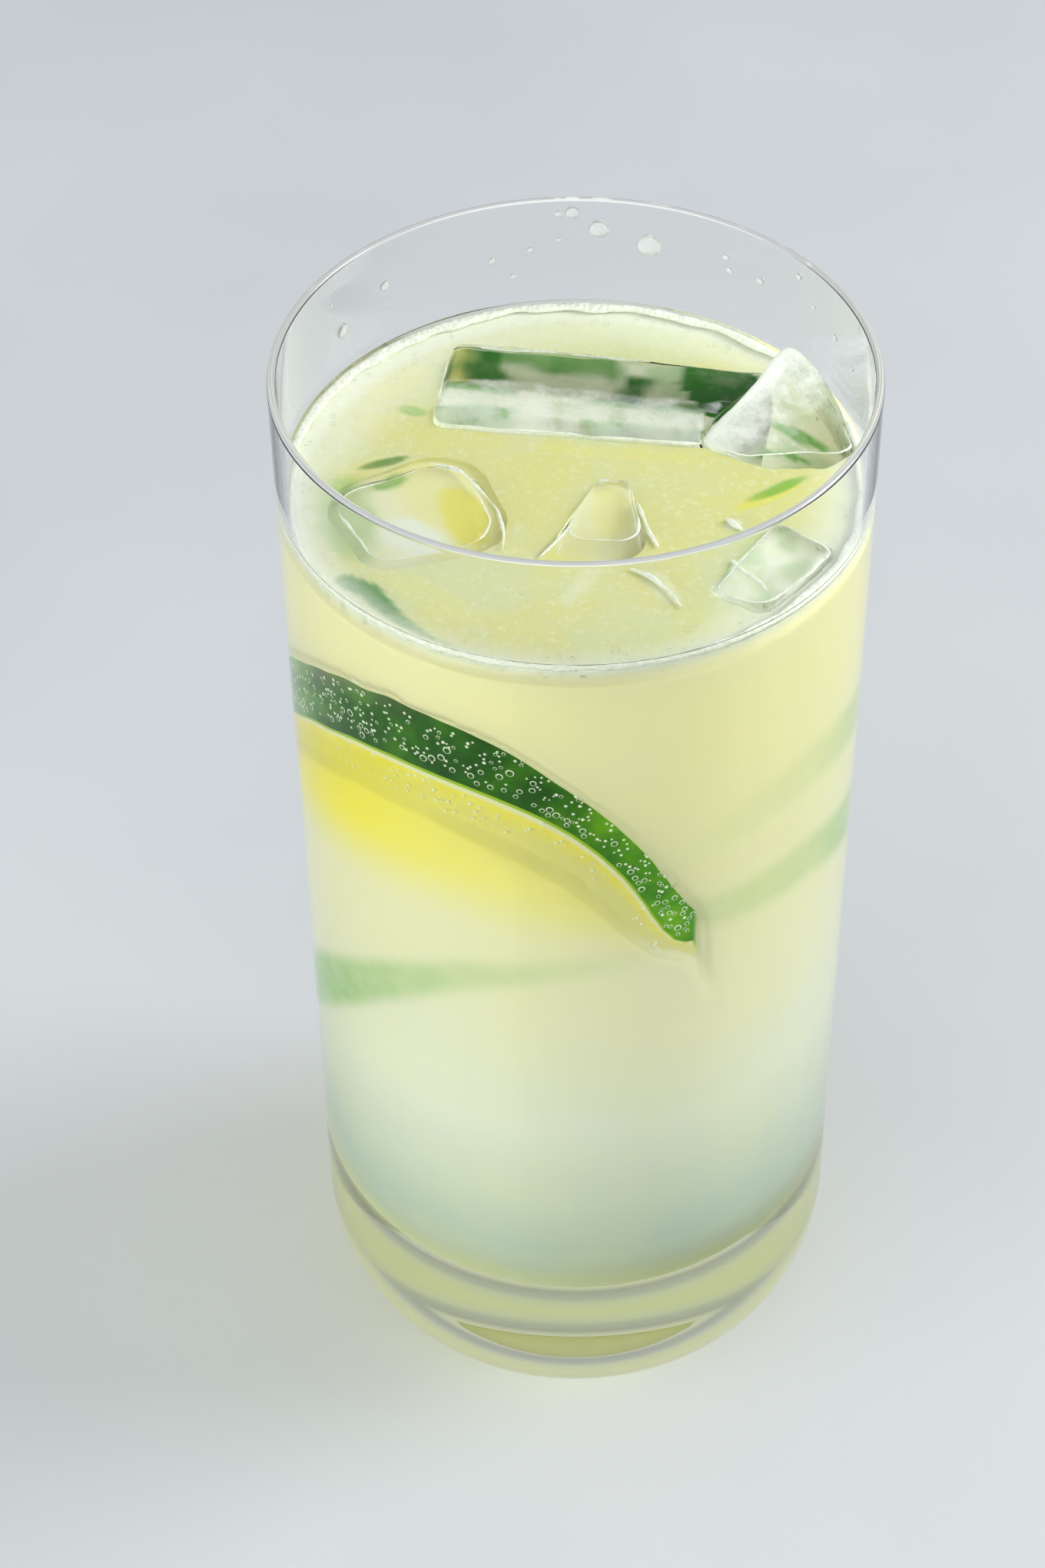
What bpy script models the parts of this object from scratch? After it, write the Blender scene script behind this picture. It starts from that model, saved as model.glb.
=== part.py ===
"""A gin rickey in its highball glass: clear glass, cloudy drink and the ice that pokes out of it.

Metres, +Z up. The origin is the centre of the glass's foot. The lime slices and the rest of the ice
are wholly sunk in the drink and have no solids here.
"""

import math

import bmesh
import bpy
from mathutils import Matrix, Vector

MM = 0.001

# ---- the glass ----------------------------------------------------------------------------------
GLASS_HEIGHT = 150.0 * MM
RIM_RADIUS = 35.0 * MM            # outside, at the rim
HEEL_RADIUS = 34.65 * MM          # outside, just above the rounded heel
HEEL_HEIGHT = 14.5 * MM
HEEL_SETBACK = 7.7 * MM           # how far the foot stands in from the wall
RIM_WALL = 1.0 * MM               # wall thickness at the rim
INNER_RADIUS_LOW = 33.0 * MM      # inside, where the wall meets the rounded bottom
FLOOR_THICKNESS = 21.0 * MM       # solid glass under the drink
INNER_CORNER = 12.0 * MM          # round between the inner wall and the floor

# ---- the drink ----------------------------------------------------------------------------------
LEVEL = 134.6 * MM
FOAM_HEIGHT = 0.9 * MM            # ring of froth that stands up against the wall
FOAM_WIDTH = 1.6 * MM
GAP = 0.3 * MM                    # between the drink and what it touches

# ---- facets -------------------------------------------------------------------------------------
TURN_STEPS = 80
ARC_STEPS = 7
RIM_STEPS = 4

# ---- ice ----------------------------------------------------------------------------------------
# size across, deep and tall; where the middle of the top face is; turn about X, Y and Z in degrees;
# how far the foot stands back from the top along X and Y, for each unit of height; radius of its
# melted edges; how far the left and right corners of its front stand in from its sides
ICE = {
    "ice_back": dict(size=(39.0, 14.4, 16.0), top=(3.5, 15.0, 136.3), turn=(-2.0, 1.5, -7.8),
                     lean=(0.0, 0.3), melt=1.6),
    "ice_right": dict(size=(16.0, 18.6, 15.0), top=(26.2, 8.9, 135.9), turn=(11.5, 9.0, -34.5),
                      lean=(-0.3, 0.0), melt=1.4),
    "ice_left": dict(size=(22.0, 21.0, 18.0), top=(-18.8, -8.2, 136.0), turn=(3.0, -4.0, 24.0),
                     lean=(0.0, 0.0), melt=7.5),
    "ice_centre": dict(size=(3.6, 13.5, 11.0), top=(3.4, -9.0, 135.2), turn=(10.5, 2.0, -8.7),
                       lean=(0.0, 0.0), melt=1.0, taper=(-4.4, -4.4)),
    "ice_front": dict(size=(8.0, 14.5, 12.0), top=(22.0, -17.2, 135.3), turn=(4.0, 5.0, -36.0),
                      lean=(0.0, 0.0), melt=1.8),
}
ICE_CUT_BY = {"ice_back": "ice_right"}
ICE_GAP = 0.45 * MM               # between two blocks that lie against each other
ICE_WALL_GAP = 1.0 * MM           # between the ice and the inside of the glass


def inner_radius(z):
    """Radius of the inside of the glass wall at height z."""
    low = FLOOR_THICKNESS + INNER_CORNER
    share = (z - low) / (GLASS_HEIGHT - low)
    return INNER_RADIUS_LOW + (RIM_RADIUS - RIM_WALL - INNER_RADIUS_LOW) * share


def arc(centre, radii, start, end, steps):
    """Points (r, z) of an elliptic arc, angles in degrees from +r towards +z."""
    points = []
    for i in range(steps + 1):
        angle = math.radians(start + (end - start) * i / steps)
        points.append((centre[0] + radii[0] * math.cos(angle), centre[1] + radii[1] * math.sin(angle)))
    return points


def bottom_arc(gap):
    """Inside of the rounded bottom, from the floor out to the wall, drawn in by gap."""
    corner = INNER_CORNER - gap
    centre = (INNER_RADIUS_LOW - INNER_CORNER, FLOOR_THICKNESS + INNER_CORNER)
    return arc(centre, (corner, corner), 270.0, 360.0, ARC_STEPS)


def glass_profile():
    """Half section of the glass: floor, inner wall, rim, outer wall, heel and foot."""
    lip = RIM_WALL / 2.0
    rim = arc((RIM_RADIUS - lip, GLASS_HEIGHT - lip), (lip, lip), 180.0, 0.0, RIM_STEPS)
    heel = arc((HEEL_RADIUS - HEEL_SETBACK, HEEL_HEIGHT), (HEEL_SETBACK, HEEL_HEIGHT), 0.0, -90.0, ARC_STEPS)
    return [(0.0, FLOOR_THICKNESS)] + bottom_arc(0.0) + rim + heel + [(0.0, 0.0)]


def drink_profile():
    """Half section of the drink: surface, froth ring, side and rounded bottom, drawn from the top."""
    edge = inner_radius(LEVEL) - GAP
    surface = [(0.0, LEVEL), (edge - 1.6 * FOAM_WIDTH, LEVEL)]
    froth = arc((edge - FOAM_WIDTH / 2.0, LEVEL), (FOAM_WIDTH / 2.0, FOAM_HEIGHT), 150.0, 20.0, 3)
    side = [(edge, LEVEL)] + list(reversed(bottom_arc(GAP)))
    return surface + froth + side + [(0.0, FLOOR_THICKNESS + GAP)]


def material(name, colour, roughness, transmission=0.0):
    made = bpy.data.materials.new(name)
    made.use_nodes = True
    shader = made.node_tree.nodes["Principled BSDF"]
    shader.inputs["Base Color"].default_value = (*colour, 1.0)
    shader.inputs["Roughness"].default_value = roughness
    shader.inputs["Metallic"].default_value = 0.0
    shader.inputs["Transmission Weight"].default_value = transmission
    return made


def turned(name, profile, collection):
    """A solid of revolution about Z from a half section (r, z)."""
    mesh = bpy.data.meshes.new(name)
    points = [(r, 0.0, z) for r, z in profile]
    mesh.from_pydata(points, [(i, i + 1) for i in range(len(points) - 1)], [])
    piece = bpy.data.objects.new(name, mesh)
    collection.objects.link(piece)
    screw = piece.modifiers.new("turn", "SCREW")
    screw.steps = TURN_STEPS
    screw.render_steps = TURN_STEPS
    screw.use_merge_vertices = True
    screw.merge_threshold = 0.00002
    screw.use_smooth_shade = True
    return piece


def ice_block(name, size, top, turn, lean, melt, grow, collection, taper=(0.0, 0.0)):
    """A block of ice hung from the middle of its top face, with melted edges, larger by grow all round."""
    mesh = bpy.data.meshes.new(name)
    cage = bmesh.new()
    bmesh.ops.create_cube(cage, size=1.0)
    across, deep, tall = (side * MM + 2.0 * grow for side in size)
    for vert in cage.verts:
        height = (vert.co.z - 0.5) * tall
        inset = 0.0
        if vert.co.y < 0.0:
            inset = taper[0] * MM if vert.co.x < 0.0 else -taper[1] * MM
        vert.co = Vector((vert.co.x * across + inset + lean[0] * height, vert.co.y * deep + lean[1] * height,
                          height + grow))
    cage.to_mesh(mesh)
    cage.free()
    piece = bpy.data.objects.new(name, mesh)
    collection.objects.link(piece)
    piece.location = Vector(top) * MM
    piece.rotation_euler = [math.radians(angle) for angle in turn]
    bevel = piece.modifiers.new("melted edges", "BEVEL")
    bevel.width = melt * MM + grow
    bevel.segments = 3
    bevel.limit_method = "NONE"
    return piece


def boolean(piece, other, operation):
    cut = piece.modifiers.new("with " + other.name, "BOOLEAN")
    cut.operation = operation
    cut.object = other
    cut.solver = "EXACT"


def guide(piece):
    """Marks a cutter, which is no part of the model."""
    piece.hide_render = True
    piece.display_type = "WIRE"


def wall_limit(name, gap, collection):
    """A tapered plug just inside the glass wall, which the ice and its pockets stay within."""
    low, high = FLOOR_THICKNESS + INNER_CORNER, GLASS_HEIGHT
    mesh = bpy.data.meshes.new(name)
    cone = bmesh.new()
    bmesh.ops.create_cone(cone, cap_ends=True, segments=TURN_STEPS, radius1=inner_radius(low) - gap,
                          radius2=inner_radius(high) - gap, depth=high - low,
                          matrix=Matrix.Translation((0.0, 0.0, (high + low) / 2.0)))
    cone.to_mesh(mesh)
    cone.free()
    plug = bpy.data.objects.new(name, mesh)
    collection.objects.link(plug)
    guide(plug)
    return plug


def smooth(piece, sharp_angle):
    for face in piece.data.polygons:
        face.use_smooth = True
    if piece.data.polygons:
        piece.data.set_sharp_from_angle(angle=math.radians(sharp_angle))


def main():
    for leftover in list(bpy.data.objects):
        bpy.data.objects.remove(leftover, do_unlink=True)
    model = bpy.data.collections.new("gin_rickey")
    cutters = bpy.data.collections.new("cutters")
    for collection in (model, cutters):
        bpy.context.scene.collection.children.link(collection)

    clear_glass = material("clear_glass", (0.93, 0.96, 0.95), 0.02, transmission=1.0)
    cloudy_lime = material("cloudy_lime_drink", (0.74, 0.76, 0.40), 0.15)
    clear_ice = material("clear_ice", (0.88, 0.93, 0.90), 0.05, transmission=1.0)

    glass = turned("glass", glass_profile(), model)
    glass.data.materials.append(clear_glass)
    drink = turned("drink", drink_profile(), model)
    drink.data.materials.append(cloudy_lime)

    ice_limit = wall_limit("ice_limit", ICE_WALL_GAP, cutters)
    pocket_limit = wall_limit("pocket_limit", ICE_WALL_GAP - GAP, cutters)
    for name, block in ICE.items():
        ice = ice_block(name, grow=0.0, collection=model, **block)
        ice.data.materials.append(clear_ice)
        boolean(ice, ice_limit, "INTERSECT")
        if name in ICE_CUT_BY:
            beside = ICE_CUT_BY[name]
            room = ice_block(beside + "_room", grow=ICE_GAP, collection=cutters, **ICE[beside])
            guide(room)
            boolean(ice, room, "DIFFERENCE")
        smooth(ice, 40.0)
        pocket = ice_block(name + "_pocket", grow=GAP, collection=cutters, **block)
        boolean(pocket, pocket_limit, "INTERSECT")
        guide(pocket)
        boolean(drink, pocket, "DIFFERENCE")


main()
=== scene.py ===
"""The looks of a gin rickey: glass, cloudy lime drink, ice, a lime slice, froth, bubbles, drops."""

import random
from math import atan2, cos, degrees, dist, exp, hypot, pi, radians, sin, sqrt, tau

import bmesh
import bpy
import numpy as np
from mathutils import Matrix, Vector, noise
from mathutils.bvhtree import BVHTree


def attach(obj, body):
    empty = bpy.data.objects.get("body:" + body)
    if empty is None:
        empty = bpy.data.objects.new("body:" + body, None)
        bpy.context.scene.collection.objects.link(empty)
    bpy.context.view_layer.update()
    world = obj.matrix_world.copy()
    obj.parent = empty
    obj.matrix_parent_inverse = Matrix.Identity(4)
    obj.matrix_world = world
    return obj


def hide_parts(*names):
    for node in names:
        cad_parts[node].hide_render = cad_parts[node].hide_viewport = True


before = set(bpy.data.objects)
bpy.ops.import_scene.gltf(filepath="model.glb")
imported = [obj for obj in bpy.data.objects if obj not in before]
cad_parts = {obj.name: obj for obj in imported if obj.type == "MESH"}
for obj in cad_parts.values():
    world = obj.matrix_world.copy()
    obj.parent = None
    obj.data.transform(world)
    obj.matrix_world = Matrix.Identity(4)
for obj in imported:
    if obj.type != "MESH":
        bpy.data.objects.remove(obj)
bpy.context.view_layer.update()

MM = 0.001
BODY = "root"

# ---- glass, as in part.py
GLASS_HEIGHT = 150 * MM
RIM_RADIUS = 35 * MM
HEEL_RADIUS = 34.65 * MM
HEEL_HEIGHT = 14.5 * MM
HEEL_SETBACK = 7.7 * MM
RIM_WALL = 1 * MM
INNER_RADIUS_LOW = 33 * MM
FLOOR_THICKNESS = 21 * MM
INNER_CORNER = 12 * MM
CORNER_TOP = FLOOR_THICKNESS + INNER_CORNER

# ---- drink
LEVEL = 134.6 * MM
INTO_WALL = 0.15 * MM  # how far what fills the glass reaches into its wall
CLOUD_INTO_WALL = 0.25 * MM
MENISCUS_RISE = 0.9 * MM
MENISCUS_WIDTH = 0.8 * MM
CLOUD_SKIN = 0.35 * MM  # clear liquid between the drink's surface and its cloud
SKIN_DEPTH = (1.2 * MM, 2.8 * MM)  # below the surface, where that skin ends at the wall
CLOUD_STEPS = 450

# ---- ice, as in part.py
ICE = {
    "ice_back": dict(size=(39, 14.4, 16), top=(3.5, 15, 136.3), turn=(-2, 1.5, -7.8),
                     lean=(0, 0.3), melt=1.6),
    "ice_right": dict(size=(16, 18.6, 15), top=(26.2, 8.9, 135.9), turn=(11.5, 9, -34.5),
                      lean=(-0.3, 0), melt=1.4),
    "ice_left": dict(size=(22, 21, 18), top=(-18.8, -8.2, 136), turn=(3, -4, 24),
                     lean=(0, 0), melt=7.5),
    "ice_centre": dict(size=(3.6, 13.5, 11), top=(3.4, -9, 135.2), turn=(10.5, 2, -8.7),
                       lean=(0, 0), melt=1, taper=(-4.4, -4.4)),
    "ice_front": dict(size=(8, 14.5, 12), top=(22, -17.2, 135.3), turn=(4, 5, -36),
                      lean=(0, 0), melt=1.8),
}
ICE_CUT_BY = {"ice_back": "ice_right"}
ICE_GAP = 0.45 * MM
# how deep one sees into each block, in mm
POCKET_DEPTH = {"ice_back": 14, "ice_right": 8, "ice_left": 3.6, "ice_centre": 2.6, "ice_front": 3.2}
POCKET_LIGHT_SHARE = {"ice_left": 0.45, "ice_centre": 0.3}  # how strongly the pocket round a block is painted pale as painted light, else 0.7
ICE_WEAR = ((0.3, 0.14), (0.1, 0.5))  # how uneven the ice's melted faces are: depth in mm and waves per mm
ICE_WALL_GAP = 1 * MM
FROSTY = ("ice_right", "ice_front")

# ---- the lime slice at the front: centre, normal of the shown face, radius, thickness, all in mm
LIME = dict(centre=(-9.2, -10.8, 93.8), azimuth=-38.7, elevation=-32.1, radius=24.8, thickness=4.7, seed=3)
WALL_CLEARANCE = 0.3 * MM  # between the slice and the wall
SHOWN_DEPTH = 0.4 * MM  # the most that the slice is drawn behind that clearance,
DEPTH_SCALE = 3 * MM  # reached over about this much of its true depth in the drink

# ---- what shows of slices deeper in the cloudy drink: lines of (azimuth, height in mm)
RIND_LOW = [(178, 98), (191.1, 103.9), (204.7, 110), (220.9, 114.3), (232.2, 115.6), (241.8, 115.6),
    (250.5, 115), (258.6, 113.6), (263.9, 112.1), (269.2, 109.9), (274.5, 106.8), (280, 102.2),
    (284.5, 97.4), (288, 91.2), (290.5, 88.8), (293.5, 88.6), (296.5, 89.2), (299, 90)]
RIND_TOP = [(178, 106.2), (192.6, 113.6), (205, 118.6), (217.5, 122.4), (232.9, 124.4), (245.1, 124),
    (255.1, 122.4), (261.4, 120.2), (266.6, 117.5), (274.5, 113.2), (279.9, 109), (285.5, 104.2),
    (289, 99.4), (291.4, 97), (295, 92.9), (299, 90.5)]
FACE_LOW = [(192, 86), (210, 89.5), (228.1, 91.5), (246.6, 91.5), (262.5, 90), (277.7, 88.5), (290.4, 88)]
BANDS = [
    dict(top=[(188, 59), (197.8, 66), (226.8, 79), (246.3, 85.6), (268, 88.5), (288, 90)],
         low=[(188, 50), (197.7, 55.7), (226.3, 71.8), (246.1, 80.9), (268, 85.5), (288, 87)],
         strength=[(172, 0), (184, 0.75), (200, 0.7), (226, 0.5), (250, 0.3), (270, 0.16), (286, 0)]),
    dict(top=[(289, 105.5), (310.9, 110.5), (324.7, 111), (344.3, 109.5), (355, 107)],
         low=[(289, 101), (310.9, 104), (324.7, 104.5), (344.3, 102.5), (355, 100)],
         strength=[(285, 0), (300, 0.05), (325, 0.14), (344, 0.45), (350, 0.4), (357, 0)]),
    dict(top=[(289, 95.5), (312.1, 95.5), (324.1, 95.7), (348.9, 91.5), (358, 89)],
         low=[(289, 91), (312.1, 89.7), (324.1, 89.2), (348.9, 83.5), (358, 80)],
         strength=[(285, 0), (298, 0.2), (325, 0.3), (344, 0.6), (350, 0.5), (357, 0)]),
]
GLOW_STRENGTH = [(190, 1), (218, 0.95), (240, 0.68), (262, 0.5), (278, 0.42), (290, 0.35)]
# the edge of a sunk slice that shows through the surface: (x, y, width, strength)
SURFACE_ARC = [(-25.6, -18.7, 1.3, 1), (-22.9, -20.3, 1.3, 1), (-21, -23.2, 1.2, 1),
    (-19.3, -25.4, 1, 0.9), (-15.5, -29.2, 0.8, 0.8), (-9.5, -32.2, 0.6, 0.5)]
# what shows through the ice and the surface: x, y, half length, half width, turn in degrees, strength
PATCHES = {
    "peel": [(-22.4, 2.6, 3.4, 0.75, 22, 0.75)],
    "rind_glow": [(-21.4, -0.6, 2.6, 1.6, 40, 0.75), (-26.4, -7, 4.2, 8, 10, 0.45),
        (26, 12, 5.2, 0.8, -32, 0.9), (24.6, 8.4, 5, 0.7, -24, 0.9), (27.8, 4.6, 4, 1.2, -20, 0.7),
        (23.6, -2.2, 4.5, 0.9, 33, 0.7), (-19.6, 12.6, 2.4, 1, -20, 0.5)],
    "flesh_glow": [(-12.9, -6.6, 3, 6, 28, 0.7), (22.3, -3.7, 5, 1, 33, 0.5), (3.9, -6, 2.4, 4.6, -8, 0.3),
        (-1.4, -14.5, 3, 6.5, -30, 0.15), (-16, -21.5, 8, 2.2, -38, 0.15), (-21.5, 18.5, 5, 3, 45, 0.2),
        (4, 4.6, 11, 1.3, -8, 0.2)],
    # the white patches over the front block are painted highlights on it; the others are froth
    "froth": [(-18.6, -9.6, 4.6, 2.4, -24, 1), (18, -9, 1, 1.3, -30, 0.8), (18.4, -17.4, 0.7, 2.6, 12, 0.7),
        (21.8, -15.6, 0.7, 2.4, -30, 0.6), (9.6, -19.6, 1.6, 3.2, 30, 0.45), (1, -18.5, 1.1, 5, -28, 0.3)],
}

# ---- froth: the step along its lines, and the width of the ring at each azimuth, in mm
FROTH_STEP = 0.3 * MM
FROTH_WIDTH = [(0, 2.2), (30, 2.2), (60, 3), (90, 4), (120, 5), (150, 5), (180, 2.6), (205, 1.4),
    (240, 1), (290, 1), (308, 2.6), (322, 3.2), (340, 2.4), (360, 2.2)]

# ---- drops on the wall above the drink: (azimuth, height, radius), height and radius in mm
DROPS = [(90.7, 148.2, 0.9), (85.2, 145.9, 1.3), (74.7, 144.2, 1.6), (132.7, 143.8, 0.75),
    (145.4, 141.3, 1), (93.5, 148, 0.5), (107.6, 142.2, 0.5), (103.1, 139.5, 0.4), (99.5, 143.1, 0.4),
    (57.7, 145.3, 0.5), (56.7, 143.6, 0.5), (49.1, 144, 0.6), (38.8, 147.6, 0.5), (33.6, 145, 0.4),
    (25.4, 143.6, 0.5), (17.1, 142.5, 0.4), (93.4, 144.3, 0.35), (148.6, 146, 0.35)]

# ---- bubbles on the peel: count, azimuths, shares of the way up it, radii in mm
RIND_BUBBLES = [(64, (197, 291), (0.02, 0.16), (0.28, 0.5)), (24, (205, 285), (0.15, 0.6), (0.34, 0.52)),
    (210, (190, 256), (0.1, 0.85), (0.14, 0.27)), (90, (254, 287), (0.1, 0.95), (0.13, 0.25)),
    (46, (286, 294), (0, 1), (0.22, 0.38)), (80, (215, 288), (-1.1, -0.12), (0.1, 0.24))]
RINGED = 0.24  # radius in mm from which a bubble shows as a ring, a painted reflection


def inner_radius(z):
    """Radius of the inside of the glass at height z, its rounded bottom included."""
    if z < CORNER_TOP:
        rise = min(1, max(0, (CORNER_TOP - z) / INNER_CORNER))
        return INNER_RADIUS_LOW - INNER_CORNER * (1 - sqrt(1 - rise * rise))
    share = (z - CORNER_TOP) / (GLASS_HEIGHT - CORNER_TOP)
    return INNER_RADIUS_LOW + (RIM_RADIUS - RIM_WALL - INNER_RADIUS_LOW) * share


def arc(centre, radii, start, end, steps):
    angles = [radians(start + (end - start) * i / steps) for i in range(steps + 1)]
    return [(centre[0] + radii[0] * cos(a), centre[1] + radii[1] * sin(a)) for a in angles]


# ---- meshes
def placed(name, data):
    made = bpy.data.objects.new(name, data)
    bpy.context.scene.collection.objects.link(made)
    return made


def piece(name, verts, faces, material, slot="lime_drink", replaces=()):
    mesh = bpy.data.meshes.new(name)
    mesh.from_pydata([tuple(v) for v in verts], [], faces)
    mesh.polygons.foreach_set("use_smooth", [True] * len(mesh.polygons))
    mesh.update()
    made = placed(name, mesh)
    if material:
        mesh.materials.append(material)
    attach(made, BODY)
    if replaces:
        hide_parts(*replaces)
    return made


def turns(count):
    """Angles at even steps round a circle."""
    return [tau * i / count for i in range(count)]


def band_faces(rows, steps, closed=False):
    """Faces between rows of vertices, rings of as many steps. Closed joins the last row to the first."""
    faces = []
    for i in range(rows if closed else rows - 1):
        j = (i + 1) % rows
        for k in range(steps):
            m = (k + 1) % steps
            faces.append((i * steps + k, j * steps + k, j * steps + m, i * steps + m))
    return faces


def end_faces(rows, steps):
    return [tuple(range(steps - 1, -1, -1)), tuple(range((rows - 1) * steps, rows * steps))]


def joined(parts):
    """Vertices and faces of several parts as one."""
    verts, faces = [], []
    for some_verts, some_faces in parts:
        faces += [tuple(i + len(verts) for i in face) for face in some_faces]
        verts += list(some_verts)
    return verts, faces


def lathe(profile, steps):
    """Vertices and faces of a solid of revolution. The profile starts and ends on the axis."""
    rings = profile[1:-1]
    verts = [(r * cos(a), r * sin(a), z) for r, z in rings for a in turns(steps)]
    faces = band_faces(len(rings), steps)
    first, last = len(verts), len(verts) + 1
    verts += [(0, 0, profile[0][1]), (0, 0, profile[-1][1])]
    base = (len(rings) - 1) * steps
    for j in range(steps):
        k = (j + 1) % steps
        faces += [(first, j, k), (last, base + k, base + j)]
    return verts, faces


def bottom_arc(grow, steps):
    """The rounded inside bottom, from the floor out to the wall, pushed out by grow."""
    corner = INNER_CORNER + grow
    return arc((INNER_RADIUS_LOW - INNER_CORNER, CORNER_TOP), (corner, corner), 270, 360, steps)


def cut(made, others):
    """Takes the other objects out of the piece, and then removes them."""
    for other in others:
        modifier = made.modifiers.new("cut", "BOOLEAN")
        modifier.operation = "DIFFERENCE"
        modifier.solver = "MANIFOLD"
        modifier.object = other
    graph = bpy.context.evaluated_depsgraph_get()
    mesh = bpy.data.meshes.new_from_object(made.evaluated_get(graph))
    made.modifiers.clear()
    made.data = mesh
    for other in others:
        bpy.data.objects.remove(other)
    mesh.polygons.foreach_set("use_smooth", [True] * len(mesh.polygons))
    mesh.set_sharp_from_angle(angle=radians(38))


def point_attributes(made, **given):
    for name, values in given.items():
        attribute = made.data.attributes.new(name, "FLOAT", "POINT")
        attribute.data.foreach_set("value", np.asarray(values, dtype=np.float32))


# ---- material helpers
class Nodes:
    """Short hand for building a material's nodes."""

    def __init__(self, name):
        self.material = bpy.data.materials.new(name)
        self.material.use_nodes = True
        self.nodes = self.material.node_tree.nodes
        self.links = self.material.node_tree.links
        self.shader = self.nodes["Principled BSDF"]
        self.output = self.nodes["Material Output"]

    def add(self, kind, inputs=None, **settings):
        made = self.nodes.new("ShaderNode" + kind)
        for key, value in settings.items():
            setattr(made, key, value)
        for key, value in (inputs or {}).items():
            self.set(made.inputs[key], value)
        return made

    def set(self, socket, value):
        if isinstance(value, bpy.types.NodeSocket):
            self.links.new(value, socket)
        elif isinstance(value, tuple) and len(value) == 3 and socket.type == "RGBA":
            socket.default_value = (*value, 1)
        else:
            socket.default_value = value

    def principled(self, **inputs):
        for key, value in inputs.items():
            self.set(self.shader.inputs[key.replace("_", " ")], value)

    def attribute(self, name):
        return self.add("Attribute", attribute_name=name).outputs["Fac"]

    def position(self):
        return self.add("TexCoord").outputs["Object"]

    def height(self):
        return self.add("SeparateXYZ", {0: self.position()}).outputs["Z"]

    def noise(self, scale, detail=2, roughness=0.5):
        return self.add("TexNoise", {"Vector": self.position(), "Scale": scale, "Detail": detail,
                                     "Roughness": roughness}).outputs["Fac"]

    def ramp(self, fac, stops):
        made = self.add("ValToRGB", {"Fac": fac})
        elements = made.color_ramp.elements
        while len(elements) < len(stops):
            elements.new(0.5)
        for element, (place, colour) in zip(elements, stops):
            element.position = place
            element.color = (*colour, 1)
        return made.outputs["Color"]

    def span(self, value, low, high, to_low=0, to_high=1, smooth=False):
        return self.add("MapRange", {"Value": value, "From Min": low, "From Max": high, "To Min": to_low,
                                     "To Max": to_high},
                        interpolation_type="SMOOTHSTEP" if smooth else "LINEAR").outputs["Result"]

    def mix(self, fac, a, b):
        made = self.add("Mix", data_type="RGBA")
        self.set(made.inputs[0], fac)
        self.set(made.inputs[6], a)
        self.set(made.inputs[7], b)
        return made.outputs[2]

    def math(self, operation, a, b=0):
        return self.add("Math", {0: a, 1: b}, operation=operation).outputs[0]

    def bump(self, height, strength, distance):
        bump = self.add("Bump", {"Height": height, "Strength": strength, "Distance": distance})
        self.links.new(bump.outputs["Normal"], self.shader.inputs["Normal"])

    def lets_lamps_through(self, tint):
        """Shadow rays pass straight through, tinted, so that the lamps light what the glass holds."""
        path = self.add("LightPath")
        clear = self.add("BsdfTransparent", {"Color": tint})
        mix = self.add("MixShader", {0: path.outputs["Is Shadow Ray"], 1: self.shader.outputs[0],
                                     2: clear.outputs[0]})
        self.links.new(mix.outputs[0], self.output.inputs["Surface"])


# colours of the drink by height; the first stop paints its underside bright, a painted light
CLOUD_STOPS_WITH_UNDERSIDE_LIGHT = [(0, (1, 1, 0.8)), (0.045, (0.62, 0.7, 0.44)), (0.07, (0.48, 0.57, 0.42)),
    (0.115, (0.46, 0.56, 0.47)), (0.2, (0.58, 0.66, 0.55)), (0.32, (0.72, 0.76, 0.62)),
    (0.5, (0.76, 0.77, 0.55)), (0.75, (0.77, 0.77, 0.46)), (1, (0.8, 0.79, 0.46))]
BASE_TOP = 30 * MM
# colours up the foot: the drink's yellow-green light in the heel, then a dark grey ring, painted light and
# painted shade
BASE_PAINTED_LIGHT_STOPS = [(0, (0.97, 0.99, 0.88)), (0.08, (1, 1, 0.6)), (0.42, (1, 1, 0.58)), (0.52, (0.98, 1, 0.44)),
    (0.72, (0.92, 0.98, 0.48)), (0.78, (0.8, 0.88, 0.62)), (0.815, (0.5, 0.54, 0.57)),
    (0.865, (0.36, 0.39, 0.44)), (0.895, (0.88, 0.92, 0.8)), (1, (0.985, 0.993, 0.99))]
# painted shade: the drink's top gets darker colours than its sides, two tones mixed at random
SHADED_CLOUD_TOP = (0.72, 0.71, 0.32)
SHADED_CLOUD_TOP_PALE = (0.69, 0.72, 0.42)
FLESH_GLOW = (0.84, 0.77, 0.04)
RIND_GLOW = (0.17, 0.46, 0.07)
PEEL = (0.022, 0.2, 0.006)
FROTH_WHITE = (0.88, 0.91, 0.8)
# painted light: the pale colour of the pockets round the ice, against the shade that falls in them
POCKET_PAINTED_LIGHT = (0.93, 0.96, 0.84)
GLASS_LOOK = ((0.985, 0.993, 0.99), 1.5, (0.93, 0.95, 0.94))  # colour, index of refraction, what lamps get
ALL_LIGHT = (1, 1, 1)


def cloud_colour(n):
    """Colour of the cloudy drink: yellower above, greyer green towards the floor of the glass, painted light
    at its underside.
    """
    low = n.span(n.height(), FLOOR_THICKNESS, LEVEL)
    return n.ramp(low, CLOUD_STOPS_WITH_UNDERSIDE_LIGHT)


def clear_material(name, colour, ior, lets, reflects=1, roughness=0, transmission=1):
    """A see-through material that lets the tint `lets` of the lamps through. Its reflections are dimmed."""
    n = Nodes(name)
    n.principled(Base_Color=colour, Roughness=roughness, IOR=ior, Transmission_Weight=transmission,
                 Specular_Tint=(reflects, reflects, reflects))
    n.lets_lamps_through(lets)
    return n.material


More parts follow.
